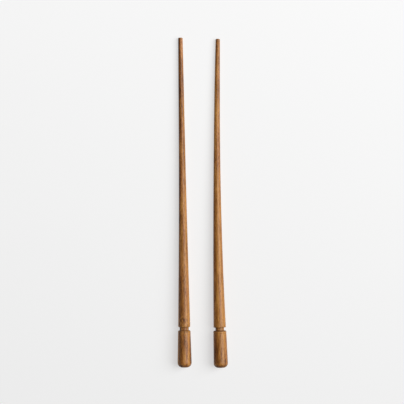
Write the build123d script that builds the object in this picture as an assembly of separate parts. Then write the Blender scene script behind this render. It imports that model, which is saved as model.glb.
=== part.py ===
from build123d import *

from dataclasses import dataclass
from math import atan, degrees
import os

# A pair of turned wooden chopsticks, lying side by side on a table.
# Each stick is one piece of hardwood: a blunt tip, a shaft that swells slowly at first and
# faster towards the butt, and a groove that sets a plain, round-ended knob off from the shaft.
# Frame: X to the right, Y from the butts to the tips, Z up. The origin is on the table, in the
# middle of the pair's box. Lengths are in millimetres and angles in degrees.

# Taper of the shaft, as diameters at stations between the tip and the groove
POINT_LENGTH = 25.0
POINT_DIAMETER = 3.78
QUARTER_DIAMETER = 4.38
MIDDLE_DIAMETER = 5.68
THREE_QUARTER_DIAMETER = 7.72

# Groove, and the knob behind it
GROOVE_WIDTH = 2.3
NECK_ROUND = 0.2
KNOB_LENGTH = 27.0
BUTT_DIAMETER = 10.5

# Left stick: nearly straight, with a shallow groove that has soft edges
LEFT_LENGTH = 240.3
LEFT_TIP_DIAMETER = 3.3
LEFT_TIP_ROUND = 0.5
LEFT_SHOULDER_DIAMETER = 8.85
LEFT_SHOULDER_ROUND = 0.8
LEFT_NECK_DIAMETER = 6.7
LEFT_COLLAR_DIAMETER = 9.12
LEFT_COLLAR_ROUND = 0.95
LEFT_BUTT_ROUND = 3.6
LEFT_BOW = 0.15
LEFT_LEAN = 0.75

# Right stick: bowed towards the left one, with a deeper groove that has a crisp shoulder
RIGHT_LENGTH = 239.65
RIGHT_TIP_DIAMETER = 3.15
RIGHT_TIP_ROUND = 0.7
RIGHT_SHOULDER_DIAMETER = 9.05
RIGHT_SHOULDER_ROUND = 0.3
RIGHT_NECK_DIAMETER = 6.3
RIGHT_COLLAR_DIAMETER = 9.5
RIGHT_COLLAR_ROUND = 1.0
RIGHT_BUTT_ROUND = 3.3
RIGHT_BOW = -1.6
RIGHT_LEAN = 0.56

# How the pair lies: between the sticks' middles, and the right one's slip towards the butts
PAIR_SPACING = 26.9
RIGHT_SLIP = 0.5

# The largest share of its wall that a rounded edge takes up
ROUND_LIMIT = 0.95


@dataclass
class Stick:
    """The sizes that differ between the two hand-finished sticks."""

    length: float
    tip_diameter: float
    tip_round: float
    shoulder_diameter: float
    shoulder_round: float
    neck_diameter: float
    collar_diameter: float
    collar_round: float
    butt_round: float
    bow: float
    lean: float

    def __post_init__(self):
        neck_reach = self.neck_diameter / 2 + NECK_ROUND
        self.tip_round = min(self.tip_round, ROUND_LIMIT * self.tip_diameter / 2)
        self.shoulder_round = min(self.shoulder_round, ROUND_LIMIT * (self.shoulder_diameter / 2 - neck_reach))
        self.collar_round = min(self.collar_round, ROUND_LIMIT * (self.collar_diameter / 2 - neck_reach))
        self.butt_round = min(self.butt_round, ROUND_LIMIT * BUTT_DIAMETER / 2)
        self.shaft_end = self.length - KNOB_LENGTH - GROOVE_WIDTH - self.shoulder_round

    def stations(self):
        """Distance from the tip and diameter of each station of the shaft."""
        return [
            (self.tip_round, self.tip_diameter),
            (POINT_LENGTH, POINT_DIAMETER),
            (self.length / 4, QUARTER_DIAMETER),
            (self.length / 2, MIDDLE_DIAMETER),
            (self.length * 3 / 4, THREE_QUARTER_DIAMETER),
            (self.shaft_end, self.shoulder_diameter),
        ]

    def section(self, run):
        """The plane square to the bowed centre line, at a distance from the tip."""
        share = run / self.length
        centre = (4 * self.bow * share * (1 - share), self.length / 2 - run, 0)
        heading = (4 * self.bow * (1 - 2 * share) / self.length, -1, 0)
        return Plane(origin=centre, x_dir=(0, 0, -1), z_dir=heading)


def turned(outline):
    """The solid turned from an outline of radius and run that starts and ends on the axis."""
    return revolve(Plane.XZ * make_face(outline), Axis.Z)


def tip_outline(stick):
    """The blunt end, from the first section of the shaft to the flat of the tip."""
    radius = stick.tip_diameter / 2
    base = Line((0, 0), (radius, 0))
    edge = TangentArc(base @ 1, (radius - stick.tip_round, -stick.tip_round), tangent=(0, -1))
    flat = Line(edge @ 1, (0, -stick.tip_round))
    return base + edge + flat + Line(flat @ 1, base @ 0)


def head_outline(stick):
    """The shoulder, the groove and the knob, from the last section of the shaft to the butt."""
    radius = stick.shoulder_diameter / 2
    neck = stick.neck_diameter / 2
    shoulder = stick.shoulder_round
    collar = shoulder + GROOVE_WIDTH
    butt = collar + KNOB_LENGTH
    base = Line((0, 0), (radius, 0))
    edge = TangentArc(base @ 1, (radius - shoulder, shoulder), tangent=(0, 1))
    groove_and_knob = FilletPolyline(
        edge @ 1,
        (neck, shoulder),
        (neck, collar),
        (stick.collar_diameter / 2, collar),
        (BUTT_DIAMETER / 2, butt),
        (0, butt),
        radius=(NECK_ROUND, NECK_ROUND, stick.collar_round, stick.butt_round),
    )
    return base + edge + groove_and_knob + Line(groove_and_knob @ 1, base @ 0)


def turn(stick):
    """One stick along Y: a lofted shaft on the bowed centre line, with its two turned ends."""
    sections = [stick.section(run) * Circle(diameter / 2) for run, diameter in stick.stations()]
    tip = stick.section(stick.tip_round) * turned(tip_outline(stick))
    head = stick.section(stick.shaft_end) * turned(head_outline(stick))
    return loft(sections) + tip + head


def lay(stick, x, y):
    """Rest a stick on the table, on its butt and its point, with its middle at a place there."""
    rest_run = stick.length - stick.butt_round
    knob_growth = (BUTT_DIAMETER - stick.collar_diameter) / KNOB_LENGTH
    rest_diameter = BUTT_DIAMETER - knob_growth * stick.butt_round
    slopes = [(rest_diameter - diameter) / 2 / (rest_run - run) for run, diameter in stick.stations()]
    tilt = degrees(atan(min(slopes)))
    laid = Pos(x, y, 0) * Rot(0, 0, stick.lean) * Rot(-tilt, 0, 0) * turn(stick)
    return Pos(0, 0, -laid.bounding_box().min.Z) * laid


left_stick = Stick(
    length=LEFT_LENGTH,
    tip_diameter=LEFT_TIP_DIAMETER,
    tip_round=LEFT_TIP_ROUND,
    shoulder_diameter=LEFT_SHOULDER_DIAMETER,
    shoulder_round=LEFT_SHOULDER_ROUND,
    neck_diameter=LEFT_NECK_DIAMETER,
    collar_diameter=LEFT_COLLAR_DIAMETER,
    collar_round=LEFT_COLLAR_ROUND,
    butt_round=LEFT_BUTT_ROUND,
    bow=LEFT_BOW,
    lean=LEFT_LEAN,
)
right_stick = Stick(
    length=RIGHT_LENGTH,
    tip_diameter=RIGHT_TIP_DIAMETER,
    tip_round=RIGHT_TIP_ROUND,
    shoulder_diameter=RIGHT_SHOULDER_DIAMETER,
    shoulder_round=RIGHT_SHOULDER_ROUND,
    neck_diameter=RIGHT_NECK_DIAMETER,
    collar_diameter=RIGHT_COLLAR_DIAMETER,
    collar_round=RIGHT_COLLAR_ROUND,
    butt_round=RIGHT_BUTT_ROUND,
    bow=RIGHT_BOW,
    lean=RIGHT_LEAN,
)

left = lay(left_stick, -PAIR_SPACING / 2, RIGHT_SLIP / 2)
right = lay(right_stick, PAIR_SPACING / 2, -RIGHT_SLIP / 2)

pair_centre = Compound([left, right]).bounding_box().center()
to_origin = Pos(-pair_centre.X, -pair_centre.Y, 0)

os.makedirs("parts", exist_ok=True)
for name, solid in (("left_chopstick", left), ("right_chopstick", right)):
    export_step(to_origin * solid, f"parts/{name}.step")
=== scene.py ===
from cmath import exp, phase
from dataclasses import dataclass
from math import atan, ceil, copysign, cos, pi, radians, sin, tan

import bpy
from mathutils import Euler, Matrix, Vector
import numpy as np


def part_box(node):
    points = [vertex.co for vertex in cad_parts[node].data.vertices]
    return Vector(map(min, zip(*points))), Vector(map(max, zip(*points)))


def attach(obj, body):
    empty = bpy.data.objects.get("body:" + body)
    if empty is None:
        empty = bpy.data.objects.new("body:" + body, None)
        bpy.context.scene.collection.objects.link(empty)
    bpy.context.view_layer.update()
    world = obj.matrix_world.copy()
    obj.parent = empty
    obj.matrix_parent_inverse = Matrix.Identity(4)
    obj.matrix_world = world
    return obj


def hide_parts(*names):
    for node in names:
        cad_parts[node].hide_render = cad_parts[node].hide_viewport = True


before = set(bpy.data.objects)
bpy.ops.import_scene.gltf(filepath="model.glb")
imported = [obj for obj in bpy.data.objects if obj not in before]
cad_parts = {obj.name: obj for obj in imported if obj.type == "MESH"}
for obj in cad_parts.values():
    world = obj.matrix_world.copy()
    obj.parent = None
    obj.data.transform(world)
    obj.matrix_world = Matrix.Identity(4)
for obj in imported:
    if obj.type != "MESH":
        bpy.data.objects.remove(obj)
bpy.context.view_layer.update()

# A pair of turned wooden chopsticks on a pale table, seen from straight above.
# Each stick is one turned mesh on a bowed centre line. Its wood is a solid pattern that runs through it.
# Sizes of the sticks are in millimetres, as in the solids. The room around them is in metres.
MM = 0.001

# Taper of the shaft, as diameters at stations between the tip and the groove
POINT_LENGTH = 25.0
POINT_DIAMETER = 3.78
QUARTER_DIAMETER = 4.38
MIDDLE_DIAMETER = 5.68
THREE_QUARTER_DIAMETER = 7.72

# Groove, and the knob behind it
GROOVE_WIDTH = 2.3
NECK_ROUND = 0.2
KNOB_LENGTH = 27.0
BUTT_DIAMETER = 10.5

# How finely the outline and the turns are divided
AROUND = 96
ARC_STEPS = 9
SHAFT_SPACING = 0.5
HEAD_SPACING = 0.11
SAME_POINT = 1e-5

# Relief of the surface, always inwards: hand sanding, raised fibres and the tool's fine rings on the head
SANDING_DEPTH = 0.03
SANDING_WAVES = 7
SANDING_LENGTHS = (14.0, 60.0)
SANDING_TURNS = (-3, 3)
FIBRE_DEPTH = 0.006
FIBRE_WAVES = 9
FIBRE_LENGTHS = (30.0, 90.0)
FIBRE_TURNS = (9, 30)
TOOL_RING_DEPTH = 0.008
TOOL_RING_WAVES = 6
TOOL_RING_LENGTHS = (0.5, 1.6)
TOOL_RING_TURNS = (0, 0)

# The largest share of the radius that the relief takes up
RELIEF_LIMIT = 0.5

# How far along the outline the wear of an edge and the painted shade of a crevice spread
EDGE_SPREAD = 0.35
CREVICE_SPREAD = 0.8

# Flat map of the surface: the stick's length in bands, one above the other, each with a margin
BAKE_MAP = "OFBake"
BANDS = 3
BAND_MARGIN = 0.01

# Patterns of the wood: pitch across the grain and along it in millimetres, and levels of detail
WANDER = (14.0, 70.0, 2.0)
PATCHES = (5.0, 26.0, 2.0)
STRANDS = (1.1, 15.0, 3.0)
FIBRES = (0.22, 9.0, 3.0)
PORES = (0.2, 3.2, 1.0)
FLECKS = (0.8, 2.2, 3.0)
BLUSHES = (2.4, 34.0, 2.0)

# Fine layers of the wood: their pitch in millimetres, and levels of detail
LAYER_PITCH = 0.9
LAYER_DETAIL = 3.0

# Random clouds: their own scale, which the patterns' pitches stretch, and the middle of their values
CLOUD_SCALE = 1.0
CLOUD_MIDDLE = 0.5

# The coloured layers reach this far to each side of the stick's middle
STRIPE_REACH = 6.0

# Tones at which the wood is dark, middling and light
TONES = (0.0, 0.5, 1.0)

# Cloud values, from -0.5 to 0.5, between which a pore opens and between which the wood blushes
PORE_EDGES = (0.11, 0.15)
BLUSH_EDGES = (-0.06, 0.16)

# Where the grain meets the surface steeply enough to count as end grain, as a share from 0 to 1
END_GRAIN_EDGES = (0.15, 0.7)

# Where a spot starts and where it is full: the square of the distance from its middle over its reach
SPOT_EDGES = (1.0, 0.0)

# How far the flecks near the groove spread along the stick, in millimetres
FLECK_SPREAD = 9.0

# How strongly the end grain darkens the wood, and how strongly worn edges and painted highlights lighten it
END_GRAIN_DARKNESS = 0.5
EDGE_AND_HIGHLIGHT_LIGHTNESS = 0.25

# Satin oil finish: its roughness, what fibres, pores and end grain add to it, its gloss and its relief
ROUGHNESS = 0.45
FIBRE_ROUGHNESS = 0.2
PORE_ROUGHNESS = 0.15
END_GRAIN_ROUGHNESS = 0.2
GLOSS = 0.45
BUMP_STRENGTH = 0.5
BUMP_DEPTH = 0.03

# Last part of every colour: nothing is see-through
OPAQUE = 1.0

# Camera: straight down, with the photograph's square frame laid on the table
VIEW_WIDTH = 0.2943
VIEW_CENTRE = (-0.00052, 0.00038)
VIEW_LEVEL = 0.004
CAMERA_HEIGHT = 1.2
SENSOR_WIDTH = 36.0

# Table, soft box and room
FLOOR_SIZE = 6.0
FLOOR_COLOUR = (0.33, 0.33, 0.33, OPAQUE)
FLOOR_ROUGHNESS = 0.8
FLOOR_GLOW = 0.592
FLOOR_GLOW_SLOPE = 0.17
FLOOR_GLOW_COLOUR = (1.0, 1.0, 1.0, OPAQUE)
KEY_PLACE = (1.76, 0.78, 2.33)
KEY_AIM = (-1.2, 3.0, 0.0)
KEY_SIZE = 2.86
KEY_POWER = 140.0
ROOM_COLOUR = (1.0, 1.0, 1.0, OPAQUE)
ROOM_STRENGTH = 0.08


@dataclass
class Stick:
    """The sizes that differ between the two hand-finished sticks, and the marks round their heads.

    Each mark has its distance past the groove, half its width, its depth and how dark its painted shade is.
    Below zero, the last number makes a painted highlight instead of painted shade.
    """

    node: str
    length: float
    tip_diameter: float
    tip_round: float
    shoulder_diameter: float
    shoulder_round: float
    neck_diameter: float
    collar_diameter: float
    collar_round: float
    butt_round: float
    bow: float
    lean: float
    marks: tuple
    groove_shade: float
    # How dark the painted shade in the groove's crevices is
    seed: int

    def __post_init__(self):
        self.shaft_end = self.length - KNOB_LENGTH - GROOVE_WIDTH - self.shoulder_round

    def stations(self):
        """Distance from the tip and diameter of each station of the shaft."""
        return [
            (self.tip_round, self.tip_diameter),
            (POINT_LENGTH, POINT_DIAMETER),
            (self.length / 4, QUARTER_DIAMETER),
            (self.length / 2, MIDDLE_DIAMETER),
            (self.length * 3 / 4, THREE_QUARTER_DIAMETER),
            (self.shaft_end, self.shoulder_diameter),
        ]

    def tilt(self):
        """The angle at which the stick lies on its butt and its point."""
        rest_run = self.length - self.butt_round
        knob_growth = (BUTT_DIAMETER - self.collar_diameter) / KNOB_LENGTH
        rest_diameter = BUTT_DIAMETER - knob_growth * self.butt_round
        slopes = [(rest_diameter - diameter) / 2 / (rest_run - run) for run, diameter in self.stations()]
        return atan(min(slopes))


@dataclass
class Wood:
    """One stick's wood. Places across are in millimetres from the stick's middle, along from its tip.

    Each stripe has its place across the layers and how light it is. Each streak has its place across and
    along, half its width, half its length and how much it darkens the wood, or below zero lightens it.
    """

    name: str
    slot: str
    layer_angle: float
    layer_slope: float
    layer_wander: float
    stripes: tuple
    dark: tuple
    middle: tuple
    light: tuple
    blush: tuple
    layer_contrast: float
    patch_contrast: float
    strand_contrast: float
    fibre_contrast: float
    fleck_contrast: float
    pore_strength: float
    groove_flecks: float
    groove_place: float
    streaks: tuple
    shift: tuple


# Left stick: nearly straight, striped, and flecked near its shallow groove
left_stick = Stick(
    node="left_chopstick",
    length=240.3,
    tip_diameter=3.3,
    tip_round=0.5,
    shoulder_diameter=8.85,
    shoulder_round=0.8,
    neck_diameter=6.7,
    collar_diameter=9.12,
    collar_round=0.95,
    butt_round=3.6,
    bow=0.15,
    lean=radians(0.75),
    # Marks: painted shade beside the groove, and a scored tool line darkened with painted shade
    marks=((0.8, 0.6, 0.0, 0.25), (2.9, 0.28, 0.05, 0.15)),
    # Painted shade in the groove's crevices
    groove_shade=0.2,
    seed=3,
)
left_wood = Wood(
    name="striped_hardwood",
    slot="left_wood",
    layer_angle=radians(8),
    layer_slope=0.002,
    layer_wander=2.0,
    stripes=(
        (-5.5, 0.85),
        (-3.4, 0.8),
        (-2.4, 0.4),
        (-1.3, 0.5),
        (-0.2, 0.62),
        (0.8, 0.8),
        (1.9, 0.64),
        (2.9, 0.9),
        (4.1, 0.85),
        (5.0, 0.45),
    ),
    dark=(0.08, 0.024, 0.003, OPAQUE),
    middle=(0.305, 0.108, 0.016, OPAQUE),
    light=(0.52, 0.24, 0.05, OPAQUE),
    blush=(1.0, 0.93, 1.15, OPAQUE),
    layer_contrast=1.3,
    patch_contrast=1.0,
    strand_contrast=1.35,
    fibre_contrast=1.5,
    fleck_contrast=0.85,
    pore_strength=0.4,
    groove_flecks=2.0,
    groove_place=209.0,
    streaks=(
        (0.0, 0.3, 2.5, 2.0, 0.2),
        (0.15, 19.0, 0.35, 8.0, 0.4),
        # Dark streak on the left flank towards the tip: partly the wood's own dark tone, partly painted
        # shade of that flank
        (-0.8, 36.0, 2.4, 52.0, 0.4),
        (0.0, 98.0, 4.0, 40.0, 0.14),
        (1.0, 111.0, 1.4, 22.0, -0.2),
        (-2.3, 219.0, 0.5, 6.0, 0.3),
        (-2.0, 227.0, 1.8, 14.0, 0.15),
        (1.7, 228.0, 0.8, 15.0, 0.4),
        (4.6, 228.0, 1.1, 16.0, 0.6),
        (-2.0, 239.4, 0.9, 1.8, 0.65),
        (1.2, 239.4, 0.7, 1.8, 0.65),
    ),
    shift=(1.7, 4.2, 8.1),
)

# Right stick: bowed towards the left one, plainer, with rings of painted shade and painted highlights round
# its knob
right_stick = Stick(
    node="right_chopstick",
    length=239.65,
    tip_diameter=3.15,
    tip_round=0.7,
    shoulder_diameter=9.05,
    shoulder_round=0.3,
    neck_diameter=6.3,
    collar_diameter=9.5,
    collar_round=1.0,
    butt_round=3.3,
    bow=-1.6,
    lean=radians(0.56),
    # Marks: painted shade beside the groove, painted highlights on the collar's round, a scored tool line
    # darkened with painted shade, and painted shading on the butt's round
    marks=(
        (-2.6, 0.5, 0.0, 0.3),
        (0.5, 0.5, 0.0, 0.5),
        (1.4, 0.3, 0.0, -2.4),
        (2.05, 0.28, 0.12, 0.4),
        (2.8, 0.3, 0.0, -1.2),
        (21.8, 1.1, 0.0, 0.17),
        (24.2, 0.5, 0.0, -0.4),
        (25.4, 0.5, 0.0, 0.3),
    ),
    # Painted shade in the groove's crevices
    groove_shade=0.4,
    seed=8,
)
right_wood = Wood(
    name="even_hardwood",
    slot="right_wood",
    layer_angle=radians(-20),
    layer_slope=-0.002,
    layer_wander=2.0,
    stripes=(
        (-5.5, 0.5),
        (-3.3, 0.55),
        (-2.2, 0.67),
        (-1.0, 0.74),
        (0.8, 0.72),
        (2.2, 0.62),
        (4.0, 0.52),
        (5.5, 0.52),
    ),
    dark=(0.09, 0.028, 0.003, OPAQUE),
    middle=(0.32, 0.117, 0.017, OPAQUE),
    light=(0.53, 0.243, 0.05, OPAQUE),
    blush=(1.0, 0.95, 1.12, OPAQUE),
    layer_contrast=0.9,
    patch_contrast=1.0,
    strand_contrast=1.35,
    fibre_contrast=1.3,
    fleck_contrast=0.75,
    pore_strength=0.35,
    groove_flecks=0.0,
    groove_place=209.0,
    streaks=(
        (0.0, 0.3, 2.5, 2.4, 0.25),
        (0.0, 20.0, 3.0, 28.0, 0.1),
        (-1.2, 45.0, 1.2, 50.0, -0.1),
        (1.3, 45.0, 1.3, 50.0, 0.25),
        (0.4, 78.0, 1.6, 18.0, 0.18),
        (0.3, 209.0, 6.5, 16.0, -0.14),
        (0.5, 232.0, 6.5, 14.0, 0.1),
        (-3.1, 227.0, 1.4, 15.0, 0.25),
        (3.2, 228.0, 1.6, 15.0, 0.12),
        (0.0, 239.0, 4.0, 1.5, 0.2),
    ),
    shift=(6.3, 2.9, 3.4),
)


# Outline of a stick

def stretch(start, end, spacing):
    """The points that divide a straight stretch, without its ends."""
    parts = max(1, ceil(abs(end - start) / spacing))
    return list(np.linspace(start, end, parts + 1)[1:-1])


def rounded(corners, radii, spacing):
    """An outline through corners, as complex numbers of run and radius, with its inner corners rounded."""
    points = [corners[0]]
    for before, corner, after, radius in zip(corners, corners[1:], corners[2:], radii):
        arriving = (corner - before) / abs(corner - before)
        leaving = (after - corner) / abs(after - corner)
        turn = phase(leaving / arriving)
        start = corner - arriving * radius * tan(abs(turn) / 2)
        centre = start + 1j * copysign(radius, turn) * arriving
        parts = [turn * step / ARC_STEPS for step in range(ARC_STEPS + 1)]
        arc = [centre + (start - centre) * exp(1j * part) for part in parts]
        points += stretch(points[-1], start, spacing) + arc
    return points + stretch(points[-1], corners[-1], spacing) + [corners[-1]]


def tip_outline(stick):
    """The flat and the rounded edge of the tip."""
    radius = 1j * stick.tip_diameter / 2
    return rounded([0j, radius, stick.tip_round + radius], [stick.tip_round], HEAD_SPACING)


def shaft_outline(stick):
    """The tapered shaft, on one smooth curve through its stations."""
    runs, diameters = zip(*stick.stations())
    taper = np.polynomial.Polynomial.fit(runs, diameters, len(runs) - 1)
    steps = np.linspace(runs[0], runs[-1], ceil((runs[-1] - runs[0]) / SHAFT_SPACING))
    return list(steps + 1j * taper(steps) / 2)


def head_outline(stick):
    """The shoulder, the groove and the knob."""
    shoulder = stick.shaft_end + stick.shoulder_round
    collar = shoulder + GROOVE_WIDTH
    corners = [
        stick.shaft_end + 1j * stick.shoulder_diameter / 2,
        shoulder + 1j * stick.shoulder_diameter / 2,
        shoulder + 1j * stick.neck_diameter / 2,
        collar + 1j * stick.neck_diameter / 2,
        collar + 1j * stick.collar_diameter / 2,
        stick.length + 1j * BUTT_DIAMETER / 2,
        stick.length + 0j,
    ]
    radii = [stick.shoulder_round, NECK_ROUND, NECK_ROUND, stick.collar_round, stick.butt_round]
    return rounded(corners, radii, HEAD_SPACING)


def outline(stick):
    """Runs and radii of the whole outline, from the middle of the tip to the middle of the butt."""
    points = np.array(tip_outline(stick) + shaft_outline(stick) + head_outline(stick))
    points = points[np.append(True, abs(np.diff(points)) > SAME_POINT)]
    return points.real, points.imag


def marks(stick, runs):
    """Depth of the marks that the turning tool left round the head, and their painted shade and painted
    highlights.
    """
    depth = np.zeros_like(runs)
    painted_shading = np.zeros_like(runs)
    for place, half_width, mark_depth, mark_shading in stick.marks:
        share = np.exp(-(((runs - stick.length + KNOB_LENGTH - place) / half_width) ** 2))
        depth += mark_depth * share
        painted_shading += mark_shading * share
    return depth, painted_shading


def wear(runs, radii):
    """Distance along the outline, its worn edges, its crevices and its end grain, each from 0 to 1."""
    steps = np.diff(runs + 1j * radii)
    along = np.append(0, np.cumsum(abs(steps)))
    turns = np.append(np.append(0, -np.angle(steps[1:] / steps[:-1])), 0)
    gaps = along[:, None] - along[None, :]
    edges = np.exp(-((gaps / EDGE_SPREAD) ** 2)) @ np.maximum(turns, 0)
    crevices = np.exp(-((gaps / CREVICE_SPREAD) ** 2)) @ np.maximum(-turns, 0)
    end_grain = abs(np.gradient(radii, along))
    return along, np.minimum(edges, 1), np.minimum(crevices, 1), end_grain


# Mesh of a stick

def waves(draw, runs, angles, count, lengths, turns):
    """From 0 to 1, a sum of waves along and round the stick, drawn from a seed."""
    total = np.zeros(np.broadcast(runs, angles).shape)
    for _ in range(count):
        length = draw.uniform(*lengths)
        turn = draw.integers(turns[0], turns[1] + 1)
        total += np.sin(2 * pi * (runs / length + draw.uniform()) + turn * angles)
    return (1 + total / count) / 2


def relief(stick, runs, angles):
    """How far the surface lies inside the outline."""
    draw = np.random.default_rng(stick.seed)
    sanding = waves(draw, runs, angles, SANDING_WAVES, SANDING_LENGTHS, SANDING_TURNS)
    fibres = waves(draw, runs, angles, FIBRE_WAVES, FIBRE_LENGTHS, FIBRE_TURNS)
    rings = waves(draw, runs, angles, TOOL_RING_WAVES, TOOL_RING_LENGTHS, TOOL_RING_TURNS)
    on_head = runs > stick.shaft_end
    return SANDING_DEPTH * sanding + FIBRE_DEPTH * fibres + TOOL_RING_DEPTH * rings * on_head


def centre_line(stick, runs):
    """Places on the bowed centre line and its headings. Past the shaft's ends it runs straight on."""
    held = np.clip(runs, stick.tip_round, stick.shaft_end)
    share = held / stick.length
    slope = 4 * stick.bow * (1 - 2 * share) / stick.length
    flat = np.zeros_like(held)
    headings = np.stack([slope, flat - 1, flat], axis=1)
    headings /= np.linalg.norm(headings, axis=1)[:, None]
    places = np.stack([4 * stick.bow * share * (1 - share), stick.length / 2 - held, flat], axis=1)
    return places + (runs - held)[:, None] * headings, headings


def turned_points(stick, runs, reach, angles):
    """The points of a turned mesh: its rings round the bowed centre line, then the middles of its ends."""
    places, headings = centre_line(stick, runs)
    sideways = np.stack([-headings[:, 1], headings[:, 0], headings[:, 2]], axis=1)[1:-1, None, :]
    rings = places[1:-1, None, :] + (reach * np.cos(angles))[..., None] * sideways
    rings[..., 2] += reach * np.sin(angles)
    return np.concatenate([rings.reshape(-1, 3), places[[0, -1]]])


def faces(rings):
    """The faces between the rings of a turned mesh, and the two fans that close its ends."""
    ring = np.arange(rings - 1)[:, None] * AROUND
    here = np.arange(AROUND)[None, :]
    there = (here + 1) % AROUND
    sides = np.stack([ring + here, ring + there, ring + AROUND + there, ring + AROUND + here], axis=-1)
    tip = rings * AROUND
    butt = tip + 1
    last = tip - AROUND
    tip_fan = [(tip, (step + 1) % AROUND, step) for step in range(AROUND)]
    butt_fan = [(butt, last + step, last + (step + 1) % AROUND) for step in range(AROUND)]
    return sides.reshape(-1, 4).tolist() + tip_fan + butt_fan


def band_map(along, turn, band_length):
    """Places on the flat map of the corners of faces, by distance along the stick and share of a turn."""
    band = np.floor(along.mean(axis=1, keepdims=True) / band_length).clip(0, BANDS - 1)
    across = BAND_MARGIN + (1 - 2 * BAND_MARGIN) * (along / band_length - band)
    up = band / BANDS + BAND_MARGIN + (1 / BANDS - 2 * BAND_MARGIN) * turn
    return np.stack([across, up], axis=-1).reshape(-1, 2)


def add_bake_map(mesh, along):
    """Lays the surface out flat, in bands one above the other, each a full turn of a part of the length."""
    band_length = along[-1] / BANDS
    here = np.arange(AROUND) / AROUND
    there = np.arange(1, AROUND + 1) / AROUND
    middle = (here + there) / 2
    first, second = along[1:-2], along[2:-1]
    side_along = np.repeat(np.stack([first, first, second, second], axis=1), AROUND, axis=0)
    side_turn = np.tile(np.stack([here, there, there, here], axis=1), (len(first), 1))
    tip_along = np.tile(along[[0, 1, 1]], (AROUND, 1))
    tip_turn = np.stack([middle, there, here], axis=1)
    butt_along = np.tile(along[[-1, -2, -2]], (AROUND, 1))
    butt_turn = np.stack([middle, here, there], axis=1)
    places = [
        band_map(side_along, side_turn, band_length),
        band_map(tip_along, tip_turn, band_length),
        band_map(butt_along, butt_turn, band_length),
    ]
    layer = mesh.uv_layers.new(name=BAKE_MAP)
    layer.uv.foreach_set("vector", np.concatenate(places).astype(np.float32).ravel())


def add_values(mesh, name, values):
    """Stores a number on each point of a turned mesh, from one number for each point of its outline."""
    everywhere = np.append(np.repeat(values[1:-1], AROUND), [values[0], values[-1]])
    layer = mesh.attributes.new(name, "FLOAT", "POINT")
    layer.data.foreach_set("value", everywhere.astype(np.float32))


def add_wood_places(mesh, runs, reach, angles):
    """Stores each point's place in the straight blank that the stick was turned from, in millimetres."""
    along = np.broadcast_to(runs[1:-1, None], reach.shape)
    places = np.stack([reach * np.cos(angles), along, reach * np.sin(angles)], axis=-1).reshape(-1, 3)
    ends = [(0, runs[0], 0), (0, runs[-1], 0)]
    layer = mesh.attributes.new("wood_place", "FLOAT_VECTOR", "POINT")
    layer.data.foreach_set("vector", np.concatenate([places, ends]).astype(np.float32).ravel())


def turned_mesh(stick):
    """The stick's mesh along Y, with its flat map, and its wood places, wear, painted shade and painted
    highlights stored on its points.
    """
    runs, radii = outline(stick)
    along, edges, crevices, end_grain = wear(runs, radii)
    depth, painted_shading = marks(stick, runs)
    angles = np.linspace(0, 2 * pi, AROUND, endpoint=False)
    ring_radii = (radii - depth)[1:-1, None]
    hollows = relief(stick, runs[1:-1, None], angles)
    reach = ring_radii - np.minimum(hollows, RELIEF_LIMIT * ring_radii)
    points = turned_points(stick, runs, reach, angles) * MM

    mesh = bpy.data.meshes.new(stick.node)
    mesh.from_pydata(points.tolist(), [], faces(len(reach)))
    mesh.shade_smooth()
    add_bake_map(mesh, along)
    add_wood_places(mesh, runs, reach, angles)
    # Worn edges, plus the painted highlights of the marks whose last number is below zero
    add_values(mesh, "edge", edges + np.maximum(-painted_shading, 0))
    # Painted shade: the dark marks round the head, and the crevices of the groove
    add_values(mesh, "painted_shading", np.clip(painted_shading + stick.groove_shade * crevices, 0, 1))
    add_values(mesh, "end_grain", end_grain)
    return mesh


def lay(stick):
    """The stick as a piece in the place of its solid, leaned and tilted as it rests."""
    mesh = turned_mesh(stick)
    mesh.transform(Euler((-stick.tilt(), 0, stick.lean)).to_matrix().to_4x4())
    corners = np.array([vertex.co for vertex in mesh.vertices])
    low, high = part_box(stick.node)
    piece = bpy.data.objects.new(stick.node + "_wood", mesh)
    piece.location = (low + high) / 2 - Vector((corners.min(axis=0) + corners.max(axis=0)) / 2)
    bpy.context.scene.collection.objects.link(piece)
    return piece


# Wood

class Field:
    """A value that varies through the wood, which can be added to and multiplied."""

    def __init__(self, tree, socket):
        self.tree = tree
        self.socket = socket

    def joined(self, operation, other):
        """This value and another one, joined by an operation."""
        node = self.tree.nodes.new("ShaderNodeMath")
        node.operation = operation
        first, second = node.inputs[:2]
        plug(self.tree, first, self)
        plug(self.tree, second, other)
        return Field(self.tree, node.outputs["Value"])

    def __add__(self, other):
        return self.joined("ADD", other)

    def __sub__(self, other):
        return self.joined("SUBTRACT", other)

    def __mul__(self, other):
        return self.joined("MULTIPLY", other)

    def __truediv__(self, other):
        return self.joined("DIVIDE", other)

    def rise(self, start, end):
        """A smooth rise from 0, where this value is at the start, to 1, where it is at the end."""
        node = self.tree.nodes.new("ShaderNodeMapRange")
        node.interpolation_type = "SMOOTHSTEP"
        plug(self.tree, node.inputs["Value"], self)
        node.inputs["From Min"].default_value = start
        node.inputs["From Max"].default_value = end
        return Field(self.tree, node.outputs["Result"])


def plug(tree, socket, value):
    """Gives a socket a field or a plain value."""
    if isinstance(value, Field):
        tree.links.new(value.socket, socket)
    else:
        socket.default_value = value


def stored(tree, name, output):
    """A value that is stored on the mesh."""
    node = tree.nodes.new("ShaderNodeAttribute")
    node.attribute_name = name
    return Field(tree, node.outputs[output])


def split(tree, vector):
    """The three parts of a vector."""
    node = tree.nodes.new("ShaderNodeSeparateXYZ")
    plug(tree, node.inputs["Vector"], vector)
    return [Field(tree, socket) for socket in node.outputs]


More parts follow.
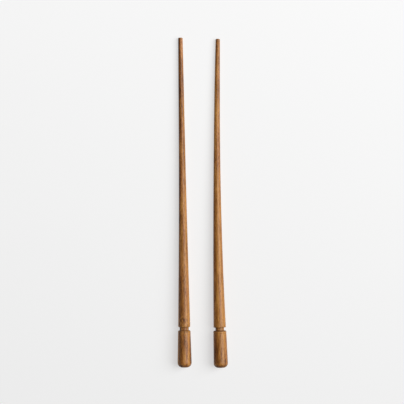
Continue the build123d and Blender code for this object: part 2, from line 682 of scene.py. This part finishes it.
def clouds(tree, wood, place, pattern):
    """Random clouds of a pattern, from -0.5 to 0.5."""
    across, along, detail = pattern
    mapping = tree.nodes.new("ShaderNodeMapping")
    plug(tree, mapping.inputs["Vector"], place)
    mapping.inputs["Location"].default_value = wood.shift
    mapping.inputs["Scale"].default_value = (1 / across, 1 / along, 1 / across)
    texture = tree.nodes.new("ShaderNodeTexNoise")
    texture.inputs["Scale"].default_value = CLOUD_SCALE
    texture.inputs["Detail"].default_value = detail
    tree.links.new(mapping.outputs["Vector"], texture.inputs["Vector"])
    return Field(tree, texture.outputs["Fac"]) - CLOUD_MIDDLE


def fine_layers(tree, layer):
    """Random fine layers, from -0.5 to 0.5, over the places across them."""
    texture = tree.nodes.new("ShaderNodeTexNoise")
    texture.noise_dimensions = "1D"
    texture.inputs["Scale"].default_value = 1 / LAYER_PITCH
    texture.inputs["Detail"].default_value = LAYER_DETAIL
    plug(tree, texture.inputs["W"], layer)
    return Field(tree, texture.outputs["Fac"]) - CLOUD_MIDDLE


def ramp(tree, value, stops):
    """A colour ramp over a value, with its stops as places from 0 to 1 and colours."""
    node = tree.nodes.new("ShaderNodeValToRGB")
    plug(tree, node.inputs["Fac"], value)
    elements = node.color_ramp.elements
    for place, _ in stops[len(elements):]:
        elements.new(place)
    for element, (place, colour) in zip(elements, stops):
        element.position = place
        element.color = colour
    return Field(tree, node.outputs["Color"])


def mixed(tree, share, first, second, blend="MIX"):
    """One colour over another, by a share."""
    node = tree.nodes.new("ShaderNodeMix")
    node.data_type = "RGBA"
    node.blend_type = blend
    sockets = {socket.identifier: socket for socket in (*node.inputs, *node.outputs)}
    plug(tree, sockets["Factor_Float"], share)
    plug(tree, sockets["A_Color"], first)
    plug(tree, sockets["B_Color"], second)
    return Field(tree, sockets["Result_Color"])


def layer_places(tree, wood, place):
    """Places across the layers of the wood, which lean, drift along the stick and wander."""
    across, along, height = split(tree, place)
    leaning = across * cos(wood.layer_angle) + height * sin(wood.layer_angle)
    return leaning + along * wood.layer_slope + clouds(tree, wood, place, WANDER) * wood.layer_wander


def stripe_share(place):
    """A place across the layers as a share of their whole reach."""
    return (place + STRIPE_REACH) / (2 * STRIPE_REACH)


def layer_tones(tree, wood, place):
    """How light the wood's layers are: broad coloured ones, with fine ones in between."""
    layer = layer_places(tree, wood, place)
    stops = [(stripe_share(stripe), (tone, tone, tone, OPAQUE)) for stripe, tone in wood.stripes]
    broad = ramp(tree, stripe_share(layer), stops)
    return broad + fine_layers(tree, layer + wood.shift[0]) * wood.layer_contrast


def fleck_tones(tree, wood, place):
    """Short flecks all along the stick, which are stronger near the groove."""
    _, along, _ = split(tree, place)
    from_groove = (along - wood.groove_place) / FLECK_SPREAD
    near_groove = (from_groove * from_groove).rise(*SPOT_EDGES)
    contrast = near_groove * wood.groove_flecks + wood.fleck_contrast
    return clouds(tree, wood, place, FLECKS) * contrast


def streak_tone(across, along, streak):
    """How much one streak or spot darkens the wood, with a soft edge."""
    streak_across, streak_along, half_width, half_length, strength = streak
    sideways = (across - streak_across) / half_width
    lengthways = (along - streak_along) / half_length
    return (sideways * sideways + lengthways * lengthways).rise(*SPOT_EDGES) * strength


def streak_tones(tree, wood, place):
    """All the single streaks and spots of the wood."""
    across, along, _ = split(tree, place)
    first, *others = [streak_tone(across, along, streak) for streak in wood.streaks]
    return sum(others, first)


def wood_colour(tree, wood, place, fibres, pores, end_grain):
    """Colour of the wood: its tones from dark to light, a blush here and there, its wear, and painted shade
    and highlights.
    """
    tone = layer_tones(tree, wood, place) + fleck_tones(tree, wood, place)
    tone = tone - streak_tones(tree, wood, place)
    tone = tone + clouds(tree, wood, place, PATCHES) * wood.patch_contrast
    tone = tone + clouds(tree, wood, place, STRANDS) * wood.strand_contrast
    tone = tone + fibres * wood.fibre_contrast - pores * wood.pore_strength
    colour = ramp(tree, tone, list(zip(TONES, (wood.dark, wood.middle, wood.light))))
    blush = clouds(tree, wood, place, BLUSHES).rise(*BLUSH_EDGES)
    colour = mixed(tree, blush, colour, wood.blush, "MULTIPLY")
    colour = mixed(tree, end_grain * END_GRAIN_DARKNESS, colour, wood.dark)
    # Painted shade in the crevices and in the marks round the head
    colour = mixed(tree, stored(tree, "painted_shading", "Fac"), colour, wood.dark)
    # Worn edges, and painted highlights round the head
    return mixed(tree, stored(tree, "edge", "Fac") * EDGE_AND_HIGHLIGHT_LIGHTNESS, colour, wood.light)


def wood_material(wood):
    """Hardwood with lengthwise layers, fibres, pores and flecks, and a satin oil finish."""
    material = bpy.data.materials.new(wood.name)
    material.use_nodes = True
    tree = material.node_tree
    surface = tree.nodes["Principled BSDF"]
    place = stored(tree, "wood_place", "Vector")
    fibres = clouds(tree, wood, place, FIBRES)
    pores = clouds(tree, wood, place, PORES).rise(*PORE_EDGES)
    end_grain = stored(tree, "end_grain", "Fac").rise(*END_GRAIN_EDGES)
    roughness = fibres * FIBRE_ROUGHNESS + pores * PORE_ROUGHNESS
    roughness = roughness + end_grain * END_GRAIN_ROUGHNESS + ROUGHNESS
    plug(tree, surface.inputs["Base Color"], wood_colour(tree, wood, place, fibres, pores, end_grain))
    plug(tree, surface.inputs["Roughness"], roughness)
    surface.inputs["Specular IOR Level"].default_value = GLOSS
    bump = tree.nodes.new("ShaderNodeBump")
    bump.inputs["Strength"].default_value = BUMP_STRENGTH
    bump.inputs["Distance"].default_value = BUMP_DEPTH * MM
    plug(tree, bump.inputs["Height"], fibres - pores)
    tree.links.new(bump.outputs["Normal"], surface.inputs["Normal"])
    return material


# Room

def key_light():
    """A large square soft box to the right of the pair, turned towards the far left of the table."""
    light = bpy.data.lights.new("key", "AREA")
    light.size = KEY_SIZE
    light.energy = KEY_POWER
    lamp = bpy.data.objects.new("key", light)
    lamp.location = KEY_PLACE
    lamp.rotation_euler = (Vector(KEY_AIM) - Vector(KEY_PLACE)).to_track_quat("-Z", "Y").to_euler()
    bpy.context.scene.collection.objects.link(lamp)


def floor_material():
    """A plain, pale surface that glows softly, a little more towards the tips."""
    material = bpy.data.materials.new("floor")
    material.use_nodes = True
    tree = material.node_tree
    surface = tree.nodes["Principled BSDF"]
    surface.inputs["Base Color"].default_value = FLOOR_COLOUR
    surface.inputs["Roughness"].default_value = FLOOR_ROUGHNESS
    surface.inputs["Emission Color"].default_value = FLOOR_GLOW_COLOUR
    place = Field(tree, tree.nodes.new("ShaderNodeTexCoord").outputs["Object"])
    _, along, _ = split(tree, place)
    plug(tree, surface.inputs["Emission Strength"], along * FLOOR_GLOW_SLOPE + FLOOR_GLOW)
    return material


def table_top():
    """The wide, flat table that the pair lies on."""
    half = FLOOR_SIZE / 2
    corners = [(-half, -half, 0), (half, -half, 0), (half, half, 0), (-half, half, 0)]
    mesh = bpy.data.meshes.new("floor")
    mesh.from_pydata(corners, [], [tuple(range(len(corners)))])
    mesh.materials.append(floor_material())
    floor = bpy.data.objects.new("floor", mesh)
    bpy.context.scene.collection.objects.link(floor)
    return floor


def room_light():
    """A faint even light from all round."""
    world = bpy.data.worlds.new("room")
    world.use_nodes = True
    background = world.node_tree.nodes["Background"]
    background.inputs["Color"].default_value = ROOM_COLOUR
    background.inputs["Strength"].default_value = ROOM_STRENGTH
    bpy.context.scene.world = world


def overhead_camera():
    """A camera that looks straight down on the pair."""
    lens = bpy.data.cameras.new("camera")
    lens.sensor_width = SENSOR_WIDTH
    lens.lens = SENSOR_WIDTH * (CAMERA_HEIGHT - VIEW_LEVEL) / VIEW_WIDTH
    camera = bpy.data.objects.new("camera", lens)
    camera.location = (*VIEW_CENTRE, CAMERA_HEIGHT)
    bpy.context.scene.collection.objects.link(camera)
    bpy.context.scene.camera = camera


# The pair on its table

for stick, wood in ((left_stick, left_wood), (right_stick, right_wood)):
    piece = lay(stick)
    piece.data.materials.append(wood_material(wood))
    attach(piece, "root")
    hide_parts(stick.node)

table_top()
key_light()
room_light()
overhead_camera()
bpy.context.scene.view_settings.view_transform = "Standard"
